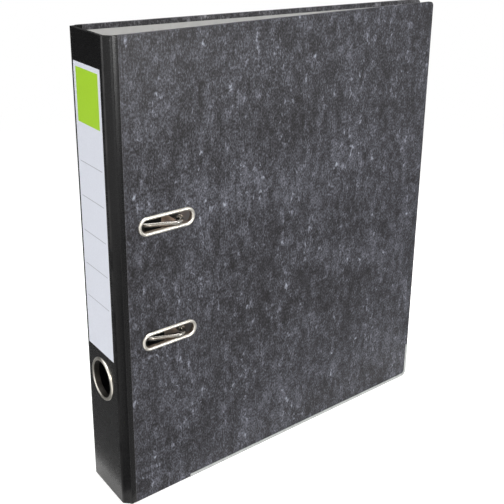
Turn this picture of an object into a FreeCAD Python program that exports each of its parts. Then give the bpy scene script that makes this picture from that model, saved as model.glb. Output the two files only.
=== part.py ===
import FreeCAD, Part
import math
import os
import re
import Sketcher

# A4 lever arch file with a 51 mm spine, closed and standing on its lower edge.
# X runs from the spine to the free edge, Y from the front cover to the back cover, Z up.
# The origin is the middle of the foot of the whole file.  Millimetres and degrees.

doc = FreeCAD.newDocument("lever_arch_file")
sheet = doc.addObject("Spreadsheet::Sheet", "Sizes")

SIZES = {
    # case
    "case_height": 318.0,        # foot of the edge rails to the top of the covers
    "spine_width": 51.0,         # over the front and back covers at their hinges
    "cover_length": 283.2,       # hinge axis to the free edge of a cover
    "cover_tilt": 6.6,           # the empty file's front cover leans in towards the back
    "hinge_inset": 4.4,          # spine face to the hinge crease in each cover
    "groove_half": 0.6,          # half the width of the hinge crease
    "spine_corner": 5.0,         # outer radius where the spine turns into the covers
    "board": 1.9,                # greyboard
    "skin": 0.2,                 # cloud paper or book cloth on the outside
    "lining": 0.2,               # lining paper on the inside
    "board_corner": 3.0,         # rounding of the boards at the free edge
    "turn_in": 3.3,              # outer paper seen inside before the lining starts
    "cloth_lap": 4.1,            # hinge axis to the end of the cloth on a cover
    "split": 0.05,               # half the parting between spine and cover at a hinge axis
    "overcut": 5.0,              # how far a cutting outline runs past what it cuts
    # spine furniture
    "label_width": 37.0,
    "label_height": 190.5,
    "label_gap": 4.8,            # finger ring to the label's foot
    "label_sheet": 0.15,
    "spine_middle": 27.0,        # front face to the line of label and finger ring
    "ring_height": 86.9,
    "ring_bore": 12.8,           # radius
    "ring_wall": 0.7,
    "ring_flange": 15.8,         # radius
    "ring_lip": 0.9,             # how far the flange stands out of the spine
    "ring_round": 0.5,
    "washer_radius": 16.0,
    "washer_sheet": 0.5,
    # slots in the front cover
    "slot_reach": 35.1,          # hinge axis to the middle of a slot
    "slot_middle": 158.8,        # height of the middle between the two slots
    "hole_spacing": 80.0,        # filing holes of A4 paper
    "slot_length": 39.5,         # clear opening
    "slot_height": 8.7,
    "eyelet_wall": 0.8,
    "eyelet_flange": 1.8,        # opening to the rim of the flange
    "eyelet_lip": 0.9,
    "eyelet_round": 0.6,
    "eyelet_clinch": 0.5,
    "eyelet_gap": 0.1,
    # edge rails
    "rail_start": 49.9,          # hinge axis to the start of a rail
    "rail_rise": 30.0,
    "rail_wall": 0.4,
    "rail_cheek": 0.3,
    "rail_grip": 2.2,            # how far the cheeks reach over the cover
    # mechanism, u = height above the lining of the back cover
    "mech_drop": 2.5,            # middle of the mechanism below the middle of the slots
    "plate_left": 14.0,          # from the spine face
    "plate_right": 58.6,
    "plate_end": 27.0,           # a post's axis to the nearer end of the plate
    "plate_sheet": 1.0,
    "plate_corner": 7.0,
    "rivet_inset": 4.6,
    "rivet_shank": 2.0,
    "rivet_head": 0.7,
    "rivet_head_radius": 4.0,
    "rivet_tail": 0.7,
    "rivet_tail_radius": 3.0,
    "post_reach": 53.0,          # spine face to the posts
    "post_radius": 2.5,
    "post_shoulder": 3.0,        # radius of the stouter foot
    "post_foot": 4.0,            # height of the foot
    "post_bore": 1.7,
    "post_rise": 37.0,
    "post_chamfer": 0.3,
    # arch
    "wire": 1.5,                 # radius
    "arch_reach": 22.5,          # spine face to the arch shaft
    "shaft_rise": 3.2,
    "arch_top_post": 45.3,       # height of the crown's line above the post
    "arch_top_leg": 37.4,        # height of the crown's line above the leg
    "arch_round_post": 6.0,
    "arch_round_leg": 11.0,
    "arch_round_foot": 3.0,
    "arch_gap": 0.3,             # tip of the arch to the top of the post
    "crank_throw": 10.0,
    "crank_half": 7.0,
    "crank_round": 2.5,
    "crank_height": 2.0,         # middle of the crank above the middle of the mechanism
    "bearing_place": 29.0,       # middle of the plate to each bearing
    "bearing_length": 7.0,
    "bearing_wall": 1.1,
    "running": 0.05,             # running clearance of shafts
    # lever
    "pivot_rise": 6.5,
    "pivot_ahead": 16.0,         # lever pivot above the roller
    "pivot_pin": 1.5,            # radius
    "pin_head": 0.6,
    "pin_head_radius": 2.4,
    "lever_width": 10.4,
    "lever_sheet": 1.2,
    "lever_length": 34.0,
    "lever_top": 4.7,            # above its pivot
    "lever_tail": 4.0,           # radius of the skirts round the pivot
    "lever_heel": 2.0,           # how far the top runs past the pivot
    "lever_skirt": 1.3,          # how far the skirts reach below the pivot
    "skirt_start": 6.0,          # pivot to the near end of the skirts' straight edge
    "skirt_end": 13.0,           # pivot to its far end
    "thumb_rise": 1.8,
    "thumb_length": 7.0,
    "roller_radius": 2.6,
    "roller_pin": 1.0,           # radius
    "bracket_sheet": 1.2,
    "bracket_gap": 0.3,
    "bracket_length": 10.0,
    "bracket_top": 3.4,          # above the pivot
    "bracket_round": 3.0,
    # opening spring
    "leaf_sheet": 0.4,
    "leaf_width": 8.0,
    "leaf_corner": 1.6,
    "leaf_ahead": 4.5,           # past the crank on the shaft's side
    "leaf_behind": 13.0,         # past the crank on the rivet's side
    "leaf_rivet": 1.6,           # radius
    "leaf_rivet_head": 0.6,
    "leaf_rivet_inset": 2.6,
    # compressor bar
    "bar_width": 12.0,
    "bar_rivet_gap": 2.4,        # end of the bar to the tails of the rivets
    "bar_sheet": 2.4,
    "bar_gap": 0.3,
    "bar_hole": 3.3,             # radius
    "bar_corner": 5.4,
    "bar_round": 0.6,
}
for row, (alias, value) in enumerate(SIZES.items(), start=1):
    sheet.set(f"A{row}", alias)
    sheet.set(f"B{row}", f"{value:g}")
    sheet.setAlias(f"B{row}", alias)
doc.recompute()

PACK = "(skin + board + lining)"
BACK_INSIDE = f"(spine_width - {PACK})"
MECH_MIDDLE = "(slot_middle - mech_drop)"
PLATE_HALF = "(hole_spacing / 2 + plate_end)"
SHIFT_X = "-(hinge_inset + cover_length + rail_wall - ring_lip) / 2"
SHIFT_Y = "-(spine_width + rivet_head) / 2"


def sized(text):
    """The expression with every size name pointed at the sheet."""
    return re.sub(r"[a-z_]+", lambda word: f"Sizes.{word[0]}" if word[0] in SIZES else word[0], text)


def bind(thing, name, text):
    thing.setExpression(name, sized(text))


def number(text):
    """The present value of an expression, for laying out what is then bound to it."""
    return float(sheet.evalExpression(sized(text)))


def place(thing, x="0", y="0", z="0", angle=None):
    """Set a sub-part's frame from the spine face, the front hinge line and the foot."""
    if angle:
        thing.Placement.Rotation = FreeCAD.Rotation(FreeCAD.Vector(0, 0, 1), 1)
        bind(thing, "Placement.Rotation.Angle", angle)
    bind(thing, "Placement.Base.x", f"{SHIFT_X} + {x}")
    bind(thing, "Placement.Base.y", f"{SHIFT_Y} + {y}")
    bind(thing, "Placement.Base.z", z)


def new_body(label, **where):
    body = doc.addObject("PartDesign::Body", label)
    body.Label = label
    place(body, **where)
    return body


def new_sketch(body, plane, offset="0"):
    sketch = body.newObject("Sketcher::SketchObject", f"{body.Label}_sketch")
    face = next(item for item in body.Origin.OriginFeatures if item.Role == plane)
    sketch.AttachmentSupport = [(face, "")]
    sketch.MapMode = "FlatFace"
    bind(sketch, "AttachmentOffset.Base.z", offset)
    return sketch


def pin_point(sketch, edge, end, x, y):
    """Hold one end of an edge at a bound place."""
    for kind, text in (("DistanceX", x), ("DistanceY", y)):
        constraint = Sketcher.Constraint(kind, -1, 1, edge, end, number(text))
        index = sketch.addConstraint(constraint)
        bind(sketch, f"Constraints[{index}]", text)


def draw(sketch, corners):
    """A closed outline through corners (x, y), (x, y, radius): a radius makes the edge that
    arrives at the corner an arc, turning left for a positive radius and right for '-...'.
    A half circle's chord is upright or level, and its middle is held instead of its radius."""
    spots = [FreeCAD.Vector(number(c[0]), number(c[1]), 0) for c in corners]
    first = sketch.GeometryCount
    count = len(corners)
    for i in range(count):
        start, end, corner = spots[i - 1], spots[i], corners[i]
        if len(corner) < 3:
            sketch.addGeometry(Part.LineSegment(start, end), False)
            continue
        left = not corner[2].startswith("-")
        radius = number(corner[2].lstrip("-"))
        chord = end - start
        half = chord.Length / 2
        side = FreeCAD.Vector(-chord.y, chord.x, 0).normalize() * (1 if left else -1)
        centre = (start + end) / 2 + side * max(radius ** 2 - half ** 2, 0) ** 0.5
        middle = centre - side * radius
        sketch.addGeometry(Part.Arc(start, middle, end), False)
    for i in range(count):
        edge, before = first + i, first + (i - 1) % count
        arc = len(corners[i]) == 3
        left = arc and not corners[i][2].startswith("-")
        tail = 1 if (not arc or left) else 2
        was_arc = len(corners[i - 1]) == 3
        was_left = was_arc and not corners[i - 1][2].startswith("-")
        before_head = 2 if (not was_arc or was_left) else 1
        sketch.addConstraint(Sketcher.Constraint("Coincident", before, before_head, edge, tail))
        head = 2 if (not arc or left) else 1
        pin_point(sketch, edge, head, corners[i][0], corners[i][1])
        if arc and abs((spots[i] - spots[i - 1]).Length / 2 - number(corners[i][2].lstrip("-"))) < 1e-6:
            upright = abs(spots[i].x - spots[i - 1].x) < 1e-6
            kind, text = ("DistanceX", corners[i][0]) if upright else ("DistanceY", corners[i][1])
            centre = Sketcher.Constraint(kind, -1, 1, edge, 3, number(text))
            bind(sketch, f"Constraints[{sketch.addConstraint(centre)}]", text)
        elif arc:
            text = corners[i][2].lstrip("-")
            index = sketch.addConstraint(Sketcher.Constraint("Radius", edge, number(text)))
            bind(sketch, f"Constraints[{index}]", text)


def draw_circle(sketch, x, y, radius):
    centre = FreeCAD.Vector(number(x), number(y), 0)
    circle = Part.Circle(centre, FreeCAD.Vector(0, 0, 1), number(radius))
    edge = sketch.addGeometry(circle, False)
    pin_point(sketch, edge, 3, x, y)
    index = sketch.addConstraint(Sketcher.Constraint("Radius", edge, number(radius)))
    bind(sketch, f"Constraints[{index}]", radius)


def box(left, right, low, high):
    return [(right, low), (right, high), (left, high), (left, low)]


def right_rounded(left, right, low, high, radius):
    """A rectangle whose two right-hand corners are rounded."""
    return [(f"{right} - {radius}", low), (right, f"{low} + {radius}", radius),
            (right, f"{high} - {radius}"), (f"{right} - {radius}", high, radius),
            (left, high), (left, low)]


def rounded(left, right, low, high, radius):
    return [(f"{right} - {radius}", low), (right, f"{low} + {radius}", radius),
            (right, f"{high} - {radius}"), (f"{right} - {radius}", high, radius),
            (f"{left} + {radius}", high), (left, f"{high} - {radius}", radius),
            (left, f"{low} + {radius}"), (f"{left} + {radius}", low, radius)]


def obround(x, y, length, height):
    """A slot outline along x with half-round ends."""
    reach = f"({length} - ({height})) / 2"
    low, high = f"{y} - ({height}) / 2", f"{y} + ({height}) / 2"
    radius = f"({height}) / 2"
    return [(f"{x} + {reach}", low), (f"{x} + {reach}", high, radius),
            (f"{x} - {reach}", high), (f"{x} - {reach}", low, radius)]


def feature(body, kind, sketch, **settings):
    thing = body.newObject(f"PartDesign::{kind}", f"{body.Label}_{kind.lower()}")
    thing.Profile = sketch
    for name, value in settings.items():
        if isinstance(value, str) and name in ("Length", "Angle"):
            bind(thing, name, value)
        else:
            setattr(thing, name, value)
    sketch.Visibility = False
    body.Tip = thing
    doc.recompute()
    return thing


def pad(body, plane, offset, length, *outlines, **settings):
    sketch = new_sketch(body, plane, offset)
    for outline in outlines:
        draw(sketch, outline)
    return feature(body, "Pad", sketch, Length=length, **settings)


def cut(body, plane, offset, length, *outlines, circles=(), **settings):
    """A pocket whose volume must go down."""
    before = body.Shape.Volume
    sketch = new_sketch(body, plane, offset)
    for outline in outlines:
        draw(sketch, outline)
    for circle in circles:
        draw_circle(sketch, *circle)
    pocket = feature(body, "Pocket", sketch, Length=length, **settings)
    if body.Shape.Volume > before - 1e-6:
        raise RuntimeError(f"{body.Label}: the pocket took nothing away")
    return pocket


def turn(body, plane, axis, outline):
    """A revolution about one of the sketch's own axes."""
    sketch = new_sketch(body, plane)
    draw(sketch, outline)
    return feature(body, "Revolution", sketch, Angle=360, ReferenceAxis=(sketch, [axis]))


def round_edges(body, radius, wanted):
    """Fillet the edges of the tip for which wanted(edge) is true."""
    base = body.Tip
    names = [f"Edge{i}" for i, edge in enumerate(base.Shape.Edges, start=1) if wanted(edge)]
    fillet = body.newObject("PartDesign::Fillet", f"{body.Label}_fillet")
    fillet.Base = (base, names)
    bind(fillet, "Radius", radius)
    body.Tip = fillet
    doc.recompute()
    return fillet


# ---- covers: in a cover's own frame X runs along it from the hinge axis, and depth is
# measured inwards from its outer face: along +Y on the front cover, -Y on the back cover.

COVERS = {
    "front": {"x": "hinge_inset", "y": "0", "angle": "cover_tilt"},
    "back": {"x": "hinge_inset", "y": "spine_width"},
}
COVER_LOW = "rail_wall"
COVER_HIGH = "case_height"
BOARD_LOW = "(rail_wall + skin)"
BOARD_HIGH = "(case_height - skin)"
BOARD_EDGE = "(cover_length - skin)"


def pad_layer(body, side, outer, inner, outline):
    offset = f"-({inner})" if side == "front" else outer
    return pad(body, "XZ_Plane", offset, f"{inner} - ({outer})", outline)


def cut_layer(body, side, outer, inner, *outlines, circles=()):
    offset = f"-({outer})" if side == "front" else inner
    return cut(body, "XZ_Plane", offset, f"{inner} - ({outer})", *outlines, circles=circles)


SLOT_HEIGHTS = {"upper": "slot_middle + hole_spacing / 2", "lower": "slot_middle - hole_spacing / 2"}


def slot_holes(gap):
    """Cut-outs for both eyelets, wider than their barrels by a gap all round."""
    grow = f"2 * (eyelet_wall + {gap})"
    return [obround("slot_reach", height, f"slot_length + {grow}", f"slot_height + {grow}")
            for height in SLOT_HEIGHTS.values()]


def rivet_places():
    """Rivets of the mechanism as (x from the spine face, z from the mechanism's middle)."""
    sides = ("plate_left + rivet_inset", "plate_right - rivet_inset")
    ends = (f"{PLATE_HALF} - rivet_inset", f"-({PLATE_HALF} - rivet_inset)")
    return [(x, z) for x in sides for z in ends]


def open_cover(body, side):
    """Slots through a front cover's layer, rivet holes through a back cover's."""
    if side == "front":
        cut_layer(body, side, "0", PACK, *slot_holes("eyelet_gap"))
        return
    holes = [(f"{x} - hinge_inset", f"{MECH_MIDDLE} + {z}", "rivet_shank") for x, z in rivet_places()]
    cut_layer(body, side, "0", PACK, circles=holes)


def board_outline():
    return right_rounded("groove_half", BOARD_EDGE, BOARD_LOW, BOARD_HIGH, "board_corner")


def lining_outline():
    return box("groove_half", "cover_length - turn_in", f"{COVER_LOW} + turn_in",
               f"{COVER_HIGH} - turn_in")


def make_board(side):
    body = new_body(f"{side}_board", **COVERS[side])
    pad_layer(body, side, "skin", "skin + board", board_outline())
    open_cover(body, side)
    return body


def make_cover_paper(side):
    """Cloud paper on the outer face, turned over the three free edges."""
    body = new_body(f"{side}_cover_paper", **COVERS[side])
    outline = right_rounded("cloth_lap", "cover_length", COVER_LOW, COVER_HIGH, "(board_corner + skin)")
    pad_layer(body, side, "0", PACK, outline)
    cut_layer(body, side, "skin", "skin + board", board_outline())
    cut_layer(body, side, "skin + board", PACK, lining_outline())
    open_cover(body, side)
    return body


def make_joint_cloth(side):
    """The lap of the spine cloth on a cover, turned over the top and bottom edges."""
    body = new_body(f"{side}_joint_cloth", **COVERS[side])
    pad_layer(body, side, "0", "skin", box("split", "groove_half", COVER_LOW, COVER_HIGH))
    pad_layer(body, side, "0", PACK, box("groove_half", "cloth_lap", COVER_LOW, COVER_HIGH))
    cut_layer(body, side, "skin", "skin + board", box("split", "cloth_lap + overcut", BOARD_LOW, BOARD_HIGH))
    cut_layer(body, side, "skin + board", PACK,
              box("split", "cloth_lap + overcut", f"{COVER_LOW} + turn_in", f"{COVER_HIGH} - turn_in"))
    return body


def make_cover_lining(side):
    body = new_body(f"{side}_lining", **COVERS[side])
    pad_layer(body, side, "skin + board", PACK, lining_outline())
    open_cover(body, side)
    return body


def make_edge_rail(side):
    """A folded steel channel on the lower edge, round the corner and up the free edge."""
    body = new_body(f"{side}_edge_rail", **COVERS[side])
    outside = "(cover_length + rail_wall)"
    reach = "(rail_wall + rail_grip)"
    corner = "(board_corner + skin + rail_wall)"
    inner = f"({corner} - {reach})"
    band = [(f"{outside} - {corner}", "0"), (outside, corner, corner),
            (outside, "rail_rise"), (f"{outside} - {reach}", "rail_rise"),
            (f"{outside} - {reach}", corner),
            (f"{outside} - {corner}", reach, f"-{inner}"),
            ("rail_start", reach), ("rail_start", "0")]
    pad_layer(body, side, "-rail_cheek", f"{PACK} + rail_cheek", band)
    kept = right_rounded("rail_start - overcut", "cover_length", COVER_LOW, "rail_rise + overcut",
                         "(board_corner + skin)")
    cut_layer(body, side, "0", PACK, kept)
    return body


def make_slot_eyelet(name):
    """A drawn steel eyelet: flange outside, barrel through the cover, clinched edge inside."""
    body = new_body(f"{name}_slot_eyelet", **COVERS["front"])
    height = SLOT_HEIGHTS[name]
    flange = obround("slot_reach", height, "slot_length + 2 * eyelet_flange",
                     "slot_height + 2 * eyelet_flange")
    barrel = obround("slot_reach", height, "slot_length + 2 * eyelet_wall",
                     "slot_height + 2 * eyelet_wall")
    pad_layer(body, "front", "-eyelet_lip", "0", flange)
    pad_layer(body, "front", "0", PACK, barrel)
    pad_layer(body, "front", PACK, f"{PACK} + eyelet_clinch", flange)
    cut_layer(body, "front", "-(eyelet_lip + overcut)", f"{PACK} + eyelet_clinch + overcut",
              obround("slot_reach", height, "slot_length", "slot_height"))
    face = number("-eyelet_lip")
    round_edges(body, "eyelet_round", lambda edge: abs(edge.BoundBox.YMin - face) < 1e-3
                and abs(edge.BoundBox.YMax - face) < 1e-3)
    return body


for side in COVERS:
    make_board(side)
    make_cover_paper(side)
    make_joint_cloth(side)
    make_cover_lining(side)
    make_edge_rail(side)
for name in SLOT_HEIGHTS:
    make_slot_eyelet(name)


# ---- spine: a channel whose rounded corners end at the hinge creases.

SPINE_LOW = COVER_LOW
SPINE_HIGH = COVER_HIGH


def channel(outer, inner, end):
    """Half-round-cornered channel between two depths below the spine's outer face, its two
    flanges ending on a line `end` from the outer face."""
    big, small = f"(spine_corner - {outer})", f"(spine_corner - {inner})"
    near = f"(spine_corner - {end})"

    def fall(radius):
        return f"(sqrt({radius} * {radius} - {near} * {near}))"

    far = "(spine_width - spine_corner)"
    return [(end, f"spine_corner - {fall(small)}"), (inner, "spine_corner", f"-{small}"),
            (inner, far), (end, f"{far} + {fall(small)}", f"-{small}"),
            (end, f"{far} + {fall(big)}"), (outer, far, big),
            (outer, "spine_corner"), (end, f"spine_corner - {fall(big)}", big)]


FLANGE_END = "(hinge_inset - groove_half)"
CLOTH_END = "(hinge_inset - split)"


def finger_hole(body, radius):
    cut(body, "YZ_Plane", "overcut", "2 * overcut", circles=[("spine_middle", "ring_height", radius)])


def make_spine_board():
    body = new_body("spine_board")
    pad(body, "XY_Plane", BOARD_LOW, f"{BOARD_HIGH} - {BOARD_LOW}",
        channel("skin", "(skin + board)", FLANGE_END))
    finger_hole(body, "ring_bore + ring_wall")
    return body


def make_spine_cloth():
    """Book cloth round the spine board, turned over its top and bottom edges."""
    body = new_body("spine_cloth")
    pad(body, "XY_Plane", SPINE_LOW, f"{SPINE_HIGH} - {SPINE_LOW}", channel("0", PACK, FLANGE_END))
    cut(body, "XY_Plane", BOARD_LOW, f"{BOARD_HIGH} - {BOARD_LOW}",
        channel("skin", "(skin + board)", FLANGE_END), Reversed=True)
    cut(body, "XY_Plane", f"{SPINE_LOW} + turn_in", f"{SPINE_HIGH} - {SPINE_LOW} - 2 * turn_in",
        channel("(skin + board)", PACK, FLANGE_END), Reversed=True)
    finger_hole(body, "ring_bore + ring_wall")
    for y, width in (("0", "skin"), ("spine_width - skin", "skin")):
        pad(body, "XY_Plane", SPINE_LOW, f"{SPINE_HIGH} - {SPINE_LOW}",
            box(f"{FLANGE_END} - skin", CLOTH_END, y, f"{y} + {width}"))
    return body


def make_spine_lining():
    body = new_body("spine_lining")
    pad(body, "XY_Plane", f"{SPINE_LOW} + turn_in", f"{SPINE_HIGH} - {SPINE_LOW} - 2 * turn_in",
        channel("(skin + board)", PACK, FLANGE_END))
    finger_hole(body, "ring_bore + ring_wall")
    return body


def make_label():
    body = new_body("spine_label")
    half = "label_width / 2"
    low = "(ring_height + ring_flange + label_gap)"
    pad(body, "YZ_Plane", "-label_sheet", "label_sheet",
        box(f"spine_middle - {half}", f"spine_middle + {half}", low, f"{low} + label_height"))
    return body


def make_finger_ring():
    """Drawn eyelet turned about the ring's axis, which lies along X."""
    body = new_body("finger_ring", y="spine_middle", z="ring_height")
    rim = "(ring_lip - ring_round)"
    profile = [("-ring_lip", "ring_bore + ring_round"),
               (f"-{rim}", "ring_bore", "ring_round"),
               (f"{PACK} + washer_sheet", "ring_bore"),
               (f"{PACK} + washer_sheet", "ring_bore + ring_wall"),
               ("0", "ring_bore + ring_wall"), ("0", "ring_flange"),
               (f"-{rim}", "ring_flange"), ("-ring_lip", "ring_flange - ring_round", "ring_round")]
    turn(body, "XZ_Plane", "H_Axis", profile)
    return body


def make_finger_washer():
    body = new_body("finger_ring_washer", y="spine_middle", z="ring_height")
    turn(body, "XZ_Plane", "H_Axis",
         box(PACK, f"{PACK} + washer_sheet", "ring_bore + ring_wall", "washer_radius"))
    return body


make_spine_board()
make_spine_cloth()
make_spine_lining()
make_label()
make_finger_ring()
make_finger_washer()


# ---- mechanism: in its own frame X starts at the spine face, Z at the middle of the plate,
# and u, the height above the lining, runs along -Y.

MECHANISM = {"y": BACK_INSIDE, "z": MECH_MIDDLE}
CRANK_X = "(arch_reach + crank_throw)"
CRANK_TOP = "(shaft_rise + wire)"
ROLLER_RISE = "(shaft_rise + wire + running + roller_radius)"
PIVOT_Z = "(crank_height + pivot_ahead)"
POST_HEIGHTS = {"upper": "hole_spacing / 2", "lower": "-(hole_spacing / 2)"}


def make_base_plate():
    """Pressed steel plate with two bearings for the arch shaft."""
    body = new_body("mechanism_base_plate", **MECHANISM)
    pad(body, "XZ_Plane", "0", "plate_sheet",
        rounded("plate_left", "plate_right", f"-{PLATE_HALF}", PLATE_HALF, "plate_corner"))
    radius = "(wire + running + bearing_wall)"
    saddle = [(f"arch_reach + {radius}", "-plate_sheet"),
              (f"arch_reach + {radius}", "-shaft_rise"),
              (f"arch_reach - {radius}", "-shaft_rise", f"-{radius}"),
              (f"arch_reach - {radius}", "-plate_sheet")]
    for middle in ("bearing_place", "-bearing_place"):
        pad(body, "XY_Plane", f"{middle} - bearing_length / 2", "bearing_length", saddle)
    cut(body, "XY_Plane", PLATE_HALF, f"2 * {PLATE_HALF}",
        circles=[("arch_reach", "-shaft_rise", "wire + running")])
    holes = [(x, z, "rivet_shank") for x, z in rivet_places()]
    holes += [("post_reach", z, "post_shoulder") for z in POST_HEIGHTS.values()]
    cut(body, "XZ_Plane", "plate_sheet + overcut", "plate_sheet + 2 * overcut", circles=holes)
    return body


def make_rivets():
    """Four rivets through the plate, the back board and its papers."""
    rivets = []
    for i, (x, z) in enumerate(rivet_places(), start=1):
        pieces = []
        for what, start, length, radius in (
                ("tail", "-(plate_sheet + rivet_tail)", "rivet_tail", "rivet_tail_radius"),
                ("shank", "-plate_sheet", f"plate_sheet + {PACK}", "rivet_shank"),
                ("head", PACK, "rivet_head", "rivet_head_radius")):
            rod = doc.addObject("Part::Cylinder", f"rivet_{i}_{what}")
            rod.Placement.Rotation = FreeCAD.Rotation(FreeCAD.Vector(1, 0, 0), -90)
            bind(rod, "Radius", radius)
            bind(rod, "Height", length)
            bind(rod, "Placement.Base.x", x)
            bind(rod, "Placement.Base.y", start)
            bind(rod, "Placement.Base.z", z)
            pieces.append(rod)
        whole = doc.addObject("Part::MultiFuse", f"rivet_{i}")
        whole.Shapes = pieces
        rivets.append(whole)
    group = doc.addObject("Part::Compound", "mechanism_rivets")
    group.Label = "mechanism_rivets"
    group.Links = rivets
    place(group, **MECHANISM)
    return group


def make_post(name):
    """A hollow post riveted into the plate."""
    body = new_body(f"{name}_post", x="post_reach", y=BACK_INSIDE,
                    z=f"{MECH_MIDDLE} + {POST_HEIGHTS[name]}")
    profile = [("post_bore", "0"), ("post_shoulder", "0"), ("post_shoulder", "-post_foot"),
               ("post_radius", "-post_foot"), ("post_radius", "-(post_rise - post_chamfer)"),
               ("post_radius - post_chamfer", "-post_rise"), ("post_bore", "-post_rise")]
    turn(body, "XY_Plane", "V_Axis", profile)
    return body


def rounded_path(points, radii):
    """Straight runs through 3-D points joined by tangent arcs."""
    edges = []
    start = points[0]
    for i in range(1, len(points) - 1):
        corner = points[i]
        back = (points[i - 1] - corner).normalize()
        ahead = (points[i + 1] - corner).normalize()
        angle = back.getAngle(ahead)
        reach = radii[i - 1] / math.tan(angle / 2)
        first, last = corner + back * reach, corner + ahead * reach
        bisector = (back + ahead).normalize()
        centre = corner + bisector * (reach ** 2 + radii[i - 1] ** 2) ** 0.5
        middle = centre - bisector * radii[i - 1]
        edges.append(Part.LineSegment(start, first).toShape())
        edges.append(Part.Arc(first, middle, last).toShape())
        start = last
    edges.append(Part.LineSegment(start, points[-1]).toShape())
    return Part.Wire(edges)


def make_arch():
    """One wire: two arches joined by a shaft with a crank in its middle."""
    arch = doc.addObject("Part::Feature", "arch_wire")
    arch.Label = "arch_wire"
    shaft, wire = number("arch_reach"), number("wire")
    rise, post = number("shaft_rise"), number("post_reach")
    reach = number("hole_spacing / 2")
    throw, half = number(CRANK_X), number("crank_half")
    middle = number("crank_height")
    leg_top, post_top = number("arch_top_leg"), number("arch_top_post")
    tip = number("post_rise + arch_gap")

    def spot(x, u, z):
        return FreeCAD.Vector(x, -u, z)

    points = [spot(post, tip, reach), spot(post, post_top, reach), spot(shaft, leg_top, reach),
              spot(shaft, rise, reach),
              spot(shaft, rise, middle + half), spot(throw, rise, middle + half),
              spot(throw, rise, middle - half), spot(shaft, rise, middle - half),
              spot(shaft, rise, -reach),
              spot(shaft, leg_top, -reach), spot(post, post_top, -reach), spot(post, tip, -reach)]
    arch_radii = [number("arch_round_post"), number("arch_round_leg"), number("arch_round_foot")]
    radii = arch_radii + [number("crank_round")] * 4 + arch_radii[::-1]
    path = rounded_path(points, radii)
    circle = Part.Circle(points[0], FreeCAD.Vector(0, 1, 0), wire)
    pipe = path.makePipeShell([Part.Wire(circle.toShape())], True, False)
    arch.Shape = pipe
    place(arch, **MECHANISM)
    print("arch wire volume over its section times its length:",
          round(pipe.Volume / (math.pi * wire ** 2 * path.Length), 4))
    return arch


def make_bracket():
    """Folded steel saddle that carries the lever's pivot pin."""
    body = new_body("lever_bracket", x=CRANK_X, y=f"{BACK_INSIDE} - pivot_rise",
                    z=f"{MECH_MIDDLE} + {PIVOT_Z}")
    inner = "(lever_width / 2 + bracket_gap)"
    outer = f"({inner} + bracket_sheet)"
    foot, floor = "(pivot_rise - plate_sheet)", "(pivot_rise - plate_sheet - bracket_sheet)"
    saddle = [(f"-{outer}", foot), (f"-{outer}", "-bracket_top"), (f"-{inner}", "-bracket_top"),
              (f"-{inner}", floor), (inner, floor), (inner, "-bracket_top"),
              (outer, "-bracket_top"), (outer, foot)]
    pad(body, "XY_Plane", "-bracket_length / 2", "bracket_length", saddle)
    top = -number("bracket_top")
    round_edges(body, "bracket_round", lambda edge: abs(edge.BoundBox.YMin - top) < 1e-3
                and edge.BoundBox.YLength < 1e-3 and edge.BoundBox.ZLength < 1e-3)
    cut(body, "YZ_Plane", outer, f"2 * {outer}", circles=[("0", "0", "pivot_pin")])
    return body


def make_pivot_pin():
    """Headed pin through the bracket, along X."""
    body = new_body("lever_pivot_pin", x=CRANK_X, y=f"{BACK_INSIDE} - pivot_rise",
                    z=f"{MECH_MIDDLE} + {PIVOT_Z}")
    seat = "(lever_width / 2 + bracket_gap + bracket_sheet)"
    end = f"({seat} + pin_head)"
    turn(body, "XZ_Plane", "H_Axis",
         [(f"-{end}", "0"), (end, "0"), (end, "pin_head_radius"), (seat, "pin_head_radius"),
          (seat, "pivot_pin"), (f"-{seat}", "pivot_pin"), (f"-{seat}", "pin_head_radius"),
          (f"-{end}", "pin_head_radius")])
    return body


def make_lever():
    """Channel-section lever: two skirts round the pivot and a turned-up thumb piece."""
    body = new_body("lever_arm", x=CRANK_X, y=f"{BACK_INSIDE} - pivot_rise",
                    z=f"{MECH_MIDDLE} + {PIVOT_Z}")
    top, under = "-lever_top", "-(lever_top - lever_sheet)"
    bend = "-(lever_length - thumb_length)"
    side = [(top, "lever_heel"), (top, bend),
            ("-(lever_top + thumb_rise)", "-lever_length"),
            ("-(lever_top + thumb_rise - lever_sheet)", "-lever_length"),
            (under, bend), ("lever_skirt", "-skirt_end"), ("lever_skirt", "-skirt_start"),
            ("lever_tail", "0"), ("0", "lever_tail", "lever_tail")]
    pad(body, "YZ_Plane", "-lever_width / 2", "lever_width", side)
    inside = "(lever_width / 2 - lever_sheet)"
    cut(body, "YZ_Plane", inside, f"2 * {inside}",
        box(under, "lever_tail + overcut", bend, "lever_tail + overcut"))
    cut(body, "YZ_Plane", "lever_width / 2", "lever_width",
        circles=[("0", "0", "pivot_pin + running"),
                 (f"pivot_rise - {ROLLER_RISE}", "-pivot_ahead", "roller_pin")])
    return body


def make_roller_pin():
    body = new_body("roller_pin", x=CRANK_X, y=f"{BACK_INSIDE} - {ROLLER_RISE}",
                    z=f"{MECH_MIDDLE} + crank_height")
    end = "(lever_width / 2)"
    turn(body, "XZ_Plane", "H_Axis", box(f"-{end}", end, "0", "roller_pin"))
    return body


def make_roller():
    body = new_body("lever_roller", x=CRANK_X, y=f"{BACK_INSIDE} - {ROLLER_RISE}",
                    z=f"{MECH_MIDDLE} + crank_height")
    end = "(lever_width / 2 - lever_sheet - bracket_gap)"
    turn(body, "XZ_Plane", "H_Axis", box(f"-{end}", end, "roller_pin + running", "roller_radius"))
    return body


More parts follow.
